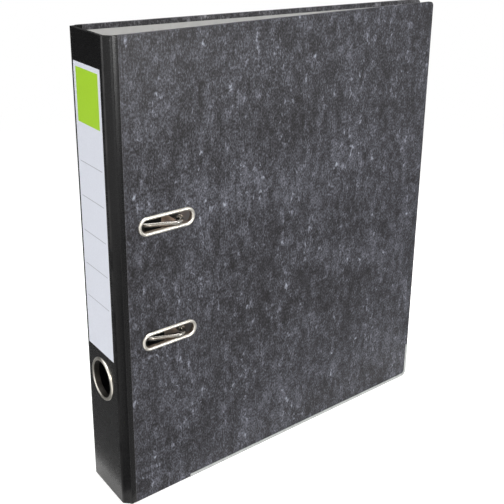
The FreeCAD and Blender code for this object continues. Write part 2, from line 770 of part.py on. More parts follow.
def make_spring():
    """Leaf riveted to the plate whose free end lies pressed flat under the crank."""
    body = new_body("opening_spring", x=CRANK_X, y=BACK_INSIDE, z=f"{MECH_MIDDLE} + crank_height")
    pad(body, "XZ_Plane", "plate_sheet", "leaf_sheet",
        rounded("-leaf_ahead", "leaf_behind", "-leaf_width / 2", "leaf_width / 2", "leaf_corner"))
    return body


def make_spring_rivet():
    body = new_body("spring_rivet", x=f"{CRANK_X} + leaf_behind - leaf_rivet_inset",
                    y=BACK_INSIDE, z=f"{MECH_MIDDLE} + crank_height")
    foot, crown = "-(plate_sheet + leaf_sheet)", "-(plate_sheet + leaf_sheet + leaf_rivet_head)"
    turn(body, "XY_Plane", "V_Axis",
         [("0", foot), ("leaf_rivet", foot), ("leaf_rivet", crown), ("0", crown)])
    return body


def make_compressor_bar():
    """Paper clamp that slides along the posts, between the rivets of the plate."""
    half = f"({PLATE_HALF} - rivet_inset - rivet_tail_radius - bar_rivet_gap)"
    body = new_body("compressor_bar", x="post_reach", y=BACK_INSIDE, z=MECH_MIDDLE)
    pad(body, "XZ_Plane", "plate_sheet + bar_gap", "bar_sheet",
        rounded("-bar_width / 2", "bar_width / 2", f"-{half}", half, "bar_corner"))
    cut(body, "XZ_Plane", "bar_sheet + overcut", "bar_sheet + 2 * overcut",
        circles=[("0", z, "bar_hole") for z in POST_HEIGHTS.values()])
    face = -number("plate_sheet + bar_gap + bar_sheet")
    round_edges(body, "bar_round", lambda edge: abs(edge.BoundBox.YMin - face) < 1e-3
                and abs(edge.BoundBox.YMax - face) < 1e-3)
    return body


make_base_plate()
make_rivets()
for name in POST_HEIGHTS:
    make_post(name)
make_arch()
make_bracket()
make_pivot_pin()
make_lever()
make_roller_pin()
make_roller()
make_spring()
make_spring_rivet()
make_compressor_bar()
doc.recompute()


# ---- every sub-part is checked and written under its own name.

failed = [item.Label for item in doc.Objects if {"Invalid", "Error"} & set(item.State)]
if failed:
    raise RuntimeError("did not compute: " + ", ".join(failed))
sub_parts = [item for item in doc.Objects if item.isDerivedFrom("PartDesign::Body")]
sub_parts += [doc.getObject("mechanism_rivets"), doc.getObject("arch_wire")]
os.makedirs("parts", exist_ok=True)
for item in sub_parts:
    shape = item.Shape
    if shape.isNull() or not shape.isValid():
        raise RuntimeError(f"{item.Label} has no valid shape")
    shape.exportStep(f"parts/{item.Label}.step")
    print(f"{item.Label:24s} solids {len(shape.Solids)}  volume {shape.Volume:10.1f}  "
          f"x {shape.BoundBox.XMin:7.2f} {shape.BoundBox.XMax:7.2f}  "
          f"y {shape.BoundBox.YMin:7.2f} {shape.BoundBox.YMax:7.2f}  "
          f"z {shape.BoundBox.ZMin:7.2f} {shape.BoundBox.ZMax:7.2f}")
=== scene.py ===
import math

import bmesh
import bpy
from mathutils import Matrix, Vector


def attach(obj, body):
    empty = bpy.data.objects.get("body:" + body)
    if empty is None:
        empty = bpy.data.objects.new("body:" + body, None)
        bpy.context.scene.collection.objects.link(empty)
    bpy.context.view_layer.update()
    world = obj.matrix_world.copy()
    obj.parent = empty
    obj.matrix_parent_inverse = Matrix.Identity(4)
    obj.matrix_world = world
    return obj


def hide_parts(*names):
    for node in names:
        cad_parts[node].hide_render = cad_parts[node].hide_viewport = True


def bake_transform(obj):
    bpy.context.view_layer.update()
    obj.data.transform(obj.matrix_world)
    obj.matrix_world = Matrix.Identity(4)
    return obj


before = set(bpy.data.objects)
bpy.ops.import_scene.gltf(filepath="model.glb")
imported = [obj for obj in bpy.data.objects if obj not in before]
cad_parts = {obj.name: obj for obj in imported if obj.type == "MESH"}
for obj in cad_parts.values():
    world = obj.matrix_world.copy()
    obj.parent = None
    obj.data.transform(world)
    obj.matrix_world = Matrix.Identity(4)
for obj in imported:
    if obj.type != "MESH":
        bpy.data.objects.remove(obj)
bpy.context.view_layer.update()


# ---- The studio: a white floor that keeps a soft shadow, a pale dome of light, four soft lamps
# and three cards for the sheen.  The camera stands above the file and to the left of its spine.

def studio_camera():
    """A long lens, level but for a slight roll, aimed by its two angles."""
    place = Vector((-0.36931, -0.51155, 0.40164))
    azimuth, elevation, roll = 0.607504736, 0.366400111, 0.0155075822      # radians
    look = Vector((math.sin(azimuth) * math.cos(elevation), math.cos(azimuth) * math.cos(elevation),
                   -math.sin(elevation)))
    right = Vector((math.cos(azimuth), -math.sin(azimuth), 0))
    up = right.cross(look)
    level, lean = math.cos(roll), math.sin(roll)
    right, up = right * level + up * lean, up * level - right * lean
    data = bpy.data.cameras.new("camera")
    data.sensor_width = 36
    data.lens = 66.522
    data.shift_x = -0.02526
    data.shift_y = -0.02968
    camera = bpy.data.objects.new("camera", data)
    turned = Matrix((right, up, -look)).transposed().to_4x4()
    camera.matrix_world = Matrix.Translation(place) @ turned
    bpy.context.scene.collection.objects.link(camera)
    bpy.context.scene.camera = camera


def soft_lamp(name, place, target, size, power, colour=(1, 1, 1)):
    """A square or oblong lamp at its place, in metres, that faces its target."""
    data = bpy.data.lights.new(name, "AREA")
    data.shape = "RECTANGLE"
    data.size, data.size_y = size
    data.energy = power
    data.color = colour
    lamp = bpy.data.objects.new(name, data)
    lamp.location = place
    lamp.rotation_euler = (Vector(target) - Vector(place)).to_track_quat("-Z", "Y").to_euler()
    bpy.context.scene.collection.objects.link(lamp)


studio_camera()
soft_lamp("key", place=(-0.524, -1.418, 0.789), target=(-0.09, 0, 0.19), size=(0.1, 0.1), power=9.5,
          colour=(1, 0.93, 0.84))
soft_lamp("overhead", place=(-0.05, 0.02, 1.15), target=(-0.02, 0, 0.2), size=(0.9, 0.9),
          power=16.5)
soft_lamp("front", place=(0.72, -1.37, 0.2), target=(0, 0, 0.25), size=(0.5, 0.2), power=9.5)
soft_lamp("left", place=(-1.6, 0.1, 0.19), target=(0, 0, 0.25), size=(1.0, 0.16), power=4.3)


class Value:
    """One output of a node.  Arithmetic on it adds Math nodes to its finish."""

    def __init__(self, finish, socket):
        self.finish, self.socket = finish, socket

    def work_out(self, operation, *terms):
        return self.finish.node("ShaderNodeMath", {"operation": operation}, dict(enumerate(terms)))

    def __add__(self, other): return self.work_out("ADD", self, other)
    def __sub__(self, other): return self.work_out("SUBTRACT", self, other)
    def __rsub__(self, other): return self.work_out("SUBTRACT", other, self)
    def __mul__(self, other): return self.work_out("MULTIPLY", self, other)
    def __abs__(self): return self.work_out("ABSOLUTE", self)
    __radd__, __rmul__ = __add__, __mul__

    def step(self, low, high):
        """0 below low, 1 above high, and a smooth rise between them."""
        return self.finish.node("ShaderNodeMapRange", {"interpolation_type": "SMOOTHSTEP"},
                                {"Value": self, "From Min": low, "From Max": high})


class Finish:
    """A material that is built up from a Principled shader."""

    def __init__(self, name, **constants):
        self.material = bpy.data.materials.new(name)
        self.material.use_nodes = True
        self.tree = self.material.node_tree
        self.shader = self.tree.nodes["Principled BSDF"]
        for socket, value in constants.items():
            self.shader.inputs[socket.replace("_", " ")].default_value = value

    def node(self, kind, settings=None, sockets=None, output=0):
        """A new node, with its settings first and then the values or links of its sockets."""
        node = self.tree.nodes.new(kind)
        for name, value in (settings or {}).items():
            setattr(node, name, value)
        for name, value in (sockets or {}).items():
            if isinstance(value, Value):
                self.tree.links.new(value.socket, node.inputs[name])
            else:
                node.inputs[name].default_value = value
        return Value(self, node.outputs[output])

    def here(self):
        """Object coordinates."""
        return self.node("ShaderNodeTexCoord", output="Object")

    def place(self, turn=0.0, origin=(0, 0, 0), stretch=(1, 1, 1)):
        """Object coordinates from an origin, turned about the upright and stretched."""
        moved = self.node("ShaderNodeVectorMath", {"operation": "SUBTRACT"},
                          {0: self.here(), 1: origin})
        return self.node("ShaderNodeMapping", {"vector_type": "POINT"},
                         {"Vector": moved, "Rotation": (0, 0, turn), "Scale": stretch})

    def axes(self, vector):
        """The three parts of a vector."""
        split = self.tree.nodes.new("ShaderNodeSeparateXYZ")
        self.tree.links.new(vector.socket, split.inputs[0])
        return [Value(self, socket) for socket in split.outputs]

    def noise(self, vector, scale, detail, rough=0.5, distort=0.0):
        return self.node("ShaderNodeTexNoise", {"noise_dimensions": "3D"},
                         {"Vector": vector, "Scale": scale, "Detail": detail, "Roughness": rough,
                          "Distortion": distort})

    def blend(self, share, first, second):
        """A colour between two, by share."""
        return self.node("ShaderNodeMix", {"data_type": "RGBA"},
                         {0: share, 6: first, 7: second}, output=2)

    def length(self, vector):
        return self.node("ShaderNodeVectorMath", {"operation": "LENGTH"}, {0: vector},
                         output="Value")

    def relief(self, height, depth, strength=1.0):
        """A bump of this height pattern, depth metres deep."""
        self.wear(Normal=self.node("ShaderNodeBump", None, {"Height": height, "Distance": depth,
                                                           "Strength": strength}))

    def wear(self, **links):
        """Link values to the shader's own sockets."""
        for socket, value in links.items():
            self.tree.links.new(value.socket, self.shader.inputs[socket.replace("_", " ")])

    def on(self, *nodes):
        """Dress CAD nodes or new pieces with this finish."""
        for item in nodes:
            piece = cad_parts[item] if isinstance(item, str) else item
            piece.data.materials.clear()
            piece.data.materials.append(self.material)


def shade(red, green, blue):
    """A linear colour from its 8-bit display values."""
    return (*((c / 12.92 if c <= 0.04045 else ((c + 0.055) / 1.055) ** 2.4)
              for c in (red / 255, green / 255, blue / 255)), 1)


def grey(level):
    return (level, level, level, 1)


WHITE, BLACK = grey(1), grey(0)
dome_light, floor_lift = 0.30, 0.4
bright_from, bright_by = 0.3, 1.1      # metres from the file, where the floor turns pure white


def plain_rays(tree):
    """1 for what the camera sees directly, in polished metal or through glass, and 0 for light."""
    rays = tree.nodes.new("ShaderNodeLightPath")
    share = None
    for name in ("Is Camera Ray", "Is Glossy Ray", "Is Transmission Ray"):
        if share is None:
            share = rays.outputs[name]
            continue
        either = tree.nodes.new("ShaderNodeMath")
        either.operation = "MAXIMUM"
        tree.links.new(share, either.inputs[0])
        tree.links.new(rays.outputs[name], either.inputs[1])
        share = either.outputs[0]
    return share


world = bpy.data.worlds.new("dome")
bpy.context.scene.world = world
world.use_nodes = True
tree = world.node_tree
lighting, backdrop = tree.nodes["Background"], tree.nodes.new("ShaderNodeBackground")
lighting.inputs["Color"].default_value = backdrop.inputs["Color"].default_value = WHITE
lighting.inputs["Strength"].default_value = dome_light
choice = tree.nodes.new("ShaderNodeMixShader")
tree.links.new(plain_rays(tree), choice.inputs[0])
tree.links.new(lighting.outputs[0], choice.inputs[1])
tree.links.new(backdrop.outputs[0], choice.inputs[2])
tree.links.new(choice.outputs[0], tree.nodes["World Output"].inputs[0])

bpy.ops.object.select_all(action="DESELECT")
bpy.ops.mesh.primitive_plane_add(size=14, location=(0, 0, 0))
floor = bpy.context.object
floor.name = "floor"
paving = Finish("floor_white", Base_Color=shade(238, 238, 238), Roughness=0.9,
                Specular_IOR_Level=0.0)
tree = paving.tree
glow, pure = tree.nodes.new("ShaderNodeEmission"), tree.nodes.new("ShaderNodeEmission")
near, seen = tree.nodes.new("ShaderNodeAddShader"), tree.nodes.new("ShaderNodeMixShader")
far = tree.nodes.new("ShaderNodeMixShader")
glow.inputs["Color"].default_value = pure.inputs["Color"].default_value = WHITE
glow.inputs["Strength"].default_value = floor_lift
away = paving.length(paving.here())
for source, socket in ((paving.shader.outputs[0], near.inputs[0]),
                       (glow.outputs[0], near.inputs[1]),
                       (away.step(bright_from, bright_by).socket, far.inputs[0]),
                       (near.outputs[0], far.inputs[1]), (pure.outputs[0], far.inputs[2]),
                       (plain_rays(tree), seen.inputs[0]),
                       (paving.shader.outputs[0], seen.inputs[1]), (far.outputs[0], seen.inputs[2]),
                       (seen.outputs[0], tree.nodes["Material Output"].inputs[0])):
    tree.links.new(source, socket)
paving.on(floor)


def sheen_card(name, size, location, rotation=(0, 0, 0)):
    """A card that only the sheen of the cloth and of the metal shows."""
    bpy.ops.object.select_all(action="DESELECT")
    bpy.ops.mesh.primitive_plane_add(size=size, location=location, rotation=rotation)
    card = bpy.context.object
    card.name = name
    bpy.ops.object.transform_apply(location=True, rotation=True)
    card.visible_camera = card.visible_diffuse = card.visible_shadow = False
    return card


def glowing(name, **constants):
    """A finish that shines by itself and takes no light."""
    return Finish(name, Base_Color=BLACK, Roughness=1.0, IOR=1.0, Emission_Strength=1.0,
                  **constants)


# A grey card stands to the left behind the file, its foot bent forward, darker towards its top.
card_wide, card_foot = 0.5, 0.66
bent_card = sheen_card("grey_card", card_wide, (-0.38, 0.52, 0.252),
                       (math.pi / 2, 0, math.radians(23.9)))
bpy.ops.object.mode_set(mode="EDIT")
bpy.ops.mesh.select_mode(type="EDGE")
bpy.ops.mesh.select_all(action="DESELECT")
card_mesh = bmesh.from_edit_mesh(bent_card.data)
for edge in card_mesh.edges:
    edge.select_set(all(v.co.z < 0.01 for v in edge.verts))
bmesh.update_edit_mesh(bent_card.data)
bpy.ops.mesh.extrude_region_move(TRANSFORM_OT_translate={"value": (0, -card_foot, 0)})
bpy.ops.object.mode_set(mode="OBJECT")
card_grey = glowing("card_grey")
height = card_grey.axes(card_grey.here())[2]
card_grey.wear(Emission_Color=card_grey.blend(height.step(0, 0.2), grey(0.225), grey(0.05)))
card_grey.on(bent_card)

# A second card lies on the floor before the front cover, fading out to white.
low_card = sheen_card("grey_floor_card", 1.6, (0.66, -0.83, 0.0025))
fading = glowing("card_fading")
distance = fading.length(fading.here())
shadowed = fading.blend(distance.step(0.15, 0.5), grey(0.6), grey(0.18))
fading.wear(Emission_Color=fading.blend(distance.step(0.5, 1.4), shadowed, WHITE))
fading.on(low_card)

# A dark card stands high behind the file, for the edges that face upwards.
high_card = sheen_card("dark_card", 1.1, (0.64, 0.92, 0.76),
                       (math.radians(111), 0, math.radians(-34.8)))
glowing("card_dark", Emission_Color=grey(0.06)).on(high_card)

bpy.context.scene.view_settings.view_transform = "Standard"


# ---- The spine: one greyboard with creased edges, wrapped in black book cloth that laps on to
# both covers and is turned over at the top and the foot, and lined with pale paper inside.
MM = 0.001                              # all sizes below are in millimetres
CASE_X, CASE_Y = -143.55, -25.85        # the spine's face and the front cover's face
spine_low, spine_high = 0.4, 318.0
spine_wide, pack = 51.0, 2.3            # across both covers, and through board and papers
tilt = math.radians(6.6)                # the front cover's lean towards the back cover
ridge, back_ridge = (0.0, 4.6), (0.0, 2.7)     # where the face turns into a creased edge
ridge_round, back_ridge_round, shoulder_round, rim_round = 1.2, 0.5, 0.3, 0.5
crease = (3.75, 1.5)                    # the bottom of the crease beside a cover
hinge = (4.4, 0.0)
bend_from, bend_to = 3.8, 5.0           # the span of the hinge where the cloth would bend as a cover turns; nothing here bends it
bend_cuts = (3.9, 4.15, 4.4, 4.65, 4.95)
shoulder, lap = 0.3, 4.1                # along the cover from the hinge
turn_in, cloth_thick = 3.3, 0.16
painted_shade_strip_lap, inner_sheet, mitre = 12.0, 0.12, 4.6        # the black strip inside a crease, which paints shade, and its cut ends
parting_y = 43.0                        # where the sheets' part at the back hinge begins
ring_z, ring_y, hole = 86.9, 27.0, 13.5                # the finger ring's middle, and its hole
spine_middle = (spine_low + spine_high) / 2
same_place = 0.01 * MM                  # points nearer than this are the same


def case(x, y, z=0.0):
    """A point given in millimetres from the spine's face, the front cover's face and the foot."""
    return Vector(((x + CASE_X) * MM, (y + CASE_Y) * MM, z * MM))


def fresh(name, add, stretch=(1, 1, 1), **sizes):
    """A new primitive as a named piece, with its place in its mesh."""
    bpy.ops.object.select_all(action="DESELECT")
    add(**sizes)
    piece = bpy.context.object
    piece.name = name
    piece.scale = stretch
    bpy.ops.object.transform_apply(location=True, rotation=True, scale=True)
    return piece


def take(piece):
    """Make a piece the only selected and the active one."""
    bpy.ops.object.select_all(action="DESELECT")
    bpy.context.view_layer.objects.active = piece
    piece.select_set(True)


def twin(source, name):
    """A copy of a piece or of a CAD node with its own merged mesh."""
    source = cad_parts[source] if isinstance(source, str) else source
    mesh = source.data.copy()
    mesh.transform(source.matrix_world)
    mesh.materials.clear()
    piece = bpy.data.objects.new(name, mesh)
    bpy.context.scene.collection.objects.link(piece)
    take(piece)
    bpy.ops.object.mode_set(mode="EDIT")
    bpy.ops.mesh.select_all(action="SELECT")
    bpy.ops.mesh.remove_doubles(threshold=0.001 * MM)
    bpy.ops.object.mode_set(mode="OBJECT")
    bpy.ops.mesh.customdata_custom_splitnormals_clear()
    bpy.ops.object.shade_flat()
    return piece


def pick(kind, test):
    """In edit mode, select just the verts, edges or faces that pass a test."""
    bpy.ops.mesh.select_mode(type={"verts": "VERT", "edges": "EDGE", "faces": "FACE"}[kind])
    bpy.ops.mesh.select_all(action="DESELECT")
    mesh = bmesh.from_edit_mesh(bpy.context.object.data)
    for part in [part for part in getattr(mesh, kind) if test(part)]:
        part.select_set(True)
    mesh.select_flush_mode()
    bmesh.update_edit_mesh(bpy.context.object.data)


def mid(part):
    """The middle of an edge or a face."""
    return sum((v.co for v in part.verts), Vector()) / len(part.verts)


def modify(piece, kind, **settings):
    """Apply one modifier to a piece."""
    take(piece)
    modifier = piece.modifiers.new(kind.lower(), kind)
    for name, value in settings.items():
        setattr(modifier, name, value)
    bpy.ops.object.modifier_apply(modifier=modifier.name)


def slice_at(point, normal, **cut):
    """In edit mode, cut the whole piece along a plane."""
    bpy.ops.mesh.select_all(action="SELECT")
    bpy.ops.mesh.bisect(plane_co=point, plane_no=normal, **cut)


def on_side(side, point):
    """A point in plan as it is at the front, or its mirror image at the back."""
    return Vector(point if side == "front" else (point[0], spine_wide - point[1]))


def on_cover(side, s):
    """A point on the outside of a cover, by its distance from the hinge."""
    lean = tilt if side == "front" else 0
    return on_side(side, (hinge[0] + s * math.cos(lean), s * math.sin(lean)))


def spine_pack(name, reach, wall):
    """The spine's whole thickness from cover to cover: a folded sheet given its wall.  Its outer
    faces have material 0, its inner faces 1 and its edges 2."""
    face = fresh(name, bpy.ops.mesh.primitive_plane_add, size=1,
                 location=case(0, (spine_wide + ridge[1] - back_ridge[1]) / 2, spine_middle),
                 rotation=(0, -math.pi / 2, 0),
                 stretch=((spine_high - spine_low) * MM,
                          (spine_wide - ridge[1] - back_ridge[1]) * MM, 1))
    bpy.ops.object.mode_set(mode="EDIT")
    for side, fold in (("front", ridge), ("back", back_ridge)):
        here = on_side(side, fold)
        edge_y = case(0, here.y).y
        pick("edges", lambda e: all(abs(v.co.y - edge_y) < same_place for v in e.verts))
        for there in (on_side(side, crease), on_cover(side, shoulder), on_cover(side, reach)):
            move = (there - here) * MM
            bpy.ops.mesh.extrude_region_move(TRANSFORM_OT_translate={"value": (move.x, move.y, 0)})
            here = there
    bpy.ops.object.mode_set(mode="OBJECT")
    for _ in ("outer", "inner", "edge"):
        face.data.materials.append(None)
    modify(face, "SOLIDIFY", thickness=wall * MM, offset=-1, use_even_offset=True,
           material_offset=1, material_offset_rim=2)
    take(face)
    bpy.ops.object.mode_set(mode="EDIT")
    rims = (spine_low * MM, spine_high * MM)
    kinds = lambda e: {f.material_index for f in e.link_faces}
    upright = lambda e: abs(e.verts[0].co.z - e.verts[1].co.z) > 100 * MM
    stands_at = lambda e, at: (mid(e).xy - case(*at).xy).length < same_place
    for at, width, steps in ((on_side("front", ridge), ridge_round, 5),
                             (on_side("back", back_ridge), back_ridge_round, 3),
                             (on_cover("front", shoulder), shoulder_round, 3),
                             (on_cover("back", shoulder), shoulder_round, 3)):
        pick("edges", lambda e: upright(e) and kinds(e) == {0} and stands_at(e, at))
        bpy.ops.mesh.bevel(offset=width * MM, segments=steps)
    at_rim = lambda e: all(any(abs(v.co.z - z) < same_place for z in rims) for v in e.verts)
    pick("edges", lambda e: at_rim(e) and kinds(e) in ({0, 2}, {1, 2}))
    bpy.ops.mesh.bevel(offset=rim_round * MM, segments=3, clamp_overlap=True)
    bpy.ops.object.mode_set(mode="OBJECT")
    return face


def cut_hole(piece, radius, location, rotation, facets):
    """Drill a round hole through a piece."""
    drill = fresh("drill", bpy.ops.mesh.primitive_cylinder_add, radius=radius * MM, depth=20 * MM,
                  vertices=facets, location=location, rotation=rotation)
    modify(piece, "BOOLEAN", object=drill, operation="DIFFERENCE", solver="EXACT")
    bpy.data.objects.remove(drill)


def bored_pack(name, reach, wall=pack):
    """The pack with its finger hole, and with cuts where it bends and where it is turned over."""
    piece = spine_pack(name, reach, wall)
    cut_hole(piece, hole, case(1, ring_y, ring_z), (0, math.pi / 2, 0), facets=96)
    take(piece)
    bpy.ops.object.mode_set(mode="EDIT")
    for x in bend_cuts:
        slice_at(case(x, 0), (1, 0, 0))
    for z in (spine_low + turn_in, spine_high - turn_in):
        slice_at((0, 0, z * MM), (0, 0, 1))
    return piece


def thickened(piece, unwanted, thickness):
    """Leave a sheet without the faces that it doesn't have, and give it its thickness."""
    pick("faces", unwanted)
    bpy.ops.mesh.delete(type="FACE")
    bpy.ops.object.mode_set(mode="OBJECT")
    modify(piece, "SOLIDIFY", thickness=thickness * MM, offset=-1)


# The inner faces between the turned-over ends are the lining's, and the others are the cloth's.
lined = lambda f: (f.material_index == 1
                   and (spine_low + turn_in) * MM < mid(f).z < (spine_high - turn_in) * MM)
inside = bored_pack("spine_lining_sheet", painted_shade_strip_lap, pack + inner_sheet)
mitre_x, mitre_rise = hinge[0] + mitre, (spine_high - spine_low) / 2 - mitre
for way in (1, -1):
    slice_at(case(mitre_x, 0, spine_middle + way * mitre_rise), Vector((1, 0, way)).normalized())
mitred = lambda f: (mid(f).x - case(mitre_x, 0).x
                    + abs(mid(f).z - spine_middle * MM) - mitre_rise * MM > 0)
thickened(inside, lambda f: not lined(f) or mitred(f), inner_sheet)

wrap = bored_pack("spine_cloth_wrap", lap)
lap_end = lambda f: mid(f).x > case(hinge[0] + lap - 0.5, 0).x and abs(f.normal.x) > 0.9
thickened(wrap, lambda f: lined(f) or lap_end(f), cloth_thick)


def halves(piece, name):
    """The part of a spine sheet at the back hinge, parted from the rest."""
    behind = twin(piece, name)
    for half, side in ((piece, "clear_outer"), (behind, "clear_inner")):
        take(half)
        bpy.ops.object.mode_set(mode="EDIT")
        slice_at(case(0, parting_y), (0, 1, 0), use_fill=True, **{side: True})
        bpy.ops.object.mode_set(mode="OBJECT")
        bpy.ops.object.shade_smooth_by_angle(angle=math.radians(38))
    case(bend_from, 0)
    case(bend_to, 0)
    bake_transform(piece)
    case(bend_from, spine_wide)
    case(bend_to, spine_wide)
    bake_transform(behind)
    return piece, behind


wraps = halves(wrap, "spine_cloth_wrap_back")
sheets = halves(inside, "spine_lining_sheet_back")

# The board under the cloth is cut to the creased edges, and blunted where face and edge meet.
core = twin("spine_board", "spine_board_creased")
under_cloth, blunt = cloth_thick * 1.6, 0.3
bpy.ops.object.mode_set(mode="EDIT")
for side, fold in (("front", ridge), ("back", back_ridge)):
    run = (Vector(crease) - Vector(fold)).normalized()
    slope = Vector((run.y, -run.x))
    corner = (slope + Vector((-1, 0))).normalized()
    for facing, depth in ((slope, under_cloth), (corner, under_cloth + blunt)):
        slice_at(case(*on_side(side, Vector(fold) - facing * depth)),
                 (facing.x, facing.y if side == "front" else -facing.y, 0),
                 clear_outer=True, use_fill=True)
bpy.ops.object.mode_set(mode="OBJECT")
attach(core, "spine")
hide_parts("spine_board")
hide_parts("spine_cloth", "front_joint_cloth")
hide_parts("back_joint_cloth")
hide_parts("spine_lining")


def book_cloth():
    """Book cloth with a starched black face: uneven threads both ways, greyer where it rubs."""
    cloth = Finish("black_book_cloth", Roughness=0.26, IOR=1.32)
    threads, drawn_out = 2600, 0.12             # how fine the threads are, and how long
    x, y, z = cloth.axes(cloth.here())
    round_spine = x + abs(y - case(0, spine_wide / 2).y)
    over = cloth.node("ShaderNodeCombineXYZ", None, {0: round_spine * drawn_out, 1: z, 2: 0})
    along = cloth.node("ShaderNodeCombineXYZ", None, {0: round_spine, 1: z * drawn_out, 2: 0})
    weft, warp = cloth.noise(over, threads, 1, 0.6), cloth.noise(along, threads, 1, 0.6)
    soil = cloth.noise(cloth.here(), 60, 3, 0.6)
    ends = abs(z - spine_middle * MM).step((spine_high / 2 - 1.4) * MM, spine_high / 2 * MM)
    front_fold, back_fold = (1 - abs(y - case(0, edge).y).step(0.2 * MM, 1.1 * MM)
                             for edge in (ridge[1], spine_wide - back_ridge[1]))
    rubbed = (front_fold + back_fold) * (1 - x.step(case(0, 0).x, case(1.2, 0).x))
    rub = (rubbed * 0.3 + ends * 0.06) * soil.step(0.35, 0.7)
    dark = cloth.blend((weft + warp - 0.55) * 0.9 + soil * 0.25, shade(8, 8, 9), shade(20, 20, 21))
    cloth.wear(Base_Color=cloth.blend(rub, dark, shade(74, 73, 73)),
               Roughness=0.2 + (weft + warp) * 0.045 + soil * 0.05 + rub * 0.2)
    cloth.relief(weft + warp, 0.03 * MM, 0.35)
    return cloth


cloth = book_cloth()
cloth.on(*wraps)

# Raw greyboard: pressed recycled fibre, warm grey, with darker specks.  It shows only where a cut
# edge isn't covered.
board = Finish("greyboard", Roughness=0.92, IOR=1.3)
fibre = board.noise(board.place(stretch=(1, 1, 0.3)), 900, 3, 0.6)
speck = board.noise(board.place(), 420, 1).step(0.66, 0.74)
pulp = board.blend(fibre.step(0.3, 0.7), shade(128, 122, 115), shade(160, 155, 148))
board.wear(Base_Color=board.blend(speck * 0.6, pulp, shade(92, 84, 76)))
board.relief(fibre, 0.06 * MM)
board.on(core)

# Lining paper: a pale grey uncoated sheet with a soft mottle and a few short fibres.  On the back
# cover a pool of warm light is painted on it beside the mechanism, where the posts' plate is
# riveted.
warm_light_full, warm_light_none = 68.55, 103.55                 # along the cover, from the painted warm light at full to none
warm_light_middle, warm_light_half_full, warm_light_half_none = 157, 55, 105          # up the cover, likewise


def lining_paper(name, painted_warm_light):
    lining = Finish(name, Roughness=0.82, IOR=1.35)
    mottle = lining.noise(lining.place(), 120, 3, 0.6)
    slanted = lining.place(turn=0.4, stretch=(1, 1, 0.35))
    hair = lining.noise(slanted, 700, 2, 0.5, 0.8).step(0.66, 0.78)
    grain = lining.noise(lining.place(), 1500, 2, 0.6)
    tone = lining.blend(mottle.step(0.2, 0.8), shade(192, 194, 195), shade(201, 202, 203))
    # Painted warm light: a tan pool on the back lining beside the mechanism, fading out at its
    # edges.
    if painted_warm_light:
        x, _, z = lining.axes(lining.here())
        uneven = mottle * (20 * MM)
        along = 1 - (x + uneven).step(case(warm_light_full, 0).x, case(warm_light_none, 0).x)
        up = 1 - (abs(z - warm_light_middle * MM) + uneven).step(warm_light_half_full * MM,
                                                            warm_light_half_none * MM)
        tone = lining.blend(along * up * 0.85, tone, shade(206, 171, 146))
    lining.wear(Base_Color=lining.blend(hair * 0.35, tone, shade(160, 152, 142)),
                Roughness=0.74 + grain * 0.14)
    lining.relief(grain + mottle * 0.5, 0.04 * MM)
    return lining


def dress_faces(piece, finish, test):
    """Give the faces whose middle passes a test a second finish."""
    piece.data.materials.append(finish.material)
    for face in piece.data.polygons:
        face.material_index = int(test(face.center))


painted_shade_strips_from = 2.9                       # from the spine's face to the black strips, which paint the shade inside the file
lining_paper("lining_paper", painted_warm_light=False).on(*sheets, "front_lining")
lining_paper("lining_paper_painted_warm_light", painted_warm_light=True).on("back_lining")
# Painted shade: beyond the spine the lining sheets are black cloth, widened to darken what shows
# through the finger hole.
for sheet in sheets:
    dress_faces(sheet, cloth, lambda at: at.x > case(painted_shade_strips_from, 0).x)

# ---- Covers: greyboard in cloud-marbled paper, charcoal with short pale fibres, lapped over the
# cloth and turned over the other edges.  The lower free corner is rounded under its steel rail.
cover_end, cover_foot, cover_top, corner_round = 283.2, 0.4, 318.0, 5.0


def cover_place(side):
    """Where a cover lies: from its hinge along x, through its thickness along y."""
    if side == "front":
        return Matrix.Translation(case(*hinge)) @ Matrix.Rotation(tilt, 4, "Z")
    return Matrix.Translation(case(hinge[0], spine_wide))


def cornered(node, side, name):
    """A cover's sheet or board with its lower free corner rounded."""
    piece = twin(node, name)
    place = cover_place(side)
    bpy.ops.object.mode_set(mode="EDIT")
    middle = Vector((cover_end - corner_round, 0, cover_foot + corner_round)) * MM
    for angle in range(15, 90, 15):
        out = Vector((math.sin(math.radians(angle)), 0, -math.cos(math.radians(angle))))
        slice_at(place @ (middle + out * corner_round * MM), place.to_3x3() @ out,
                 clear_outer=True, use_fill=True)
    bpy.ops.object.mode_set(mode="OBJECT")
    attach(piece, f"{side}_cover")
    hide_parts(node)
    return piece


